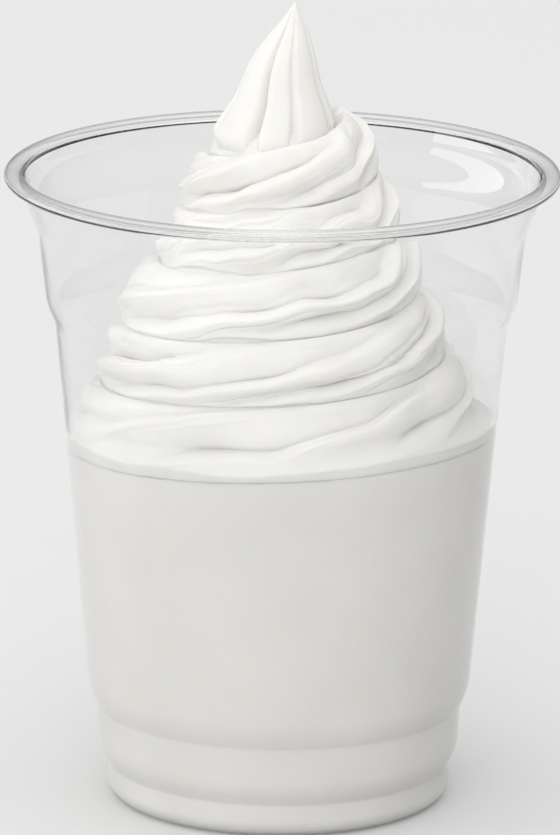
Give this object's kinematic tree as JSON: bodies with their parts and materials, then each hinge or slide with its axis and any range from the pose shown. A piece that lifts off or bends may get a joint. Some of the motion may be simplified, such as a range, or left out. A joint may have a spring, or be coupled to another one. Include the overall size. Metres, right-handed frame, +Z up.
{
  "type": "frozen yogurt cup",
  "caption": "Frozen yogurt filled level in a clear plastic cup, with a ridged swirl piped on top and drawn off to a point above the rim",
  "frame": {"origin": "centre of the cup's foot, on the surface that it stands on", "axes": "+Z up along the cup's axis; the front of the picture faces -Y, +X to the right"},
  "size_m": [0.098, 0.098, 0.1442],
  "materials": {
    "clear_plastic": "clear, glossy, thin formed plastic",
    "yogurt_against_wall": "smooth frozen yogurt pressed against the cup's wall",
    "piped_yogurt": "soft satin frozen yogurt with fine ridges"
  },
  "bodies": {
    "root": {"cup": "clear_plastic", "yogurt_fill": "yogurt_against_wall", "yogurt_swirl": "piped_yogurt"}
  },
  "joints": []
}
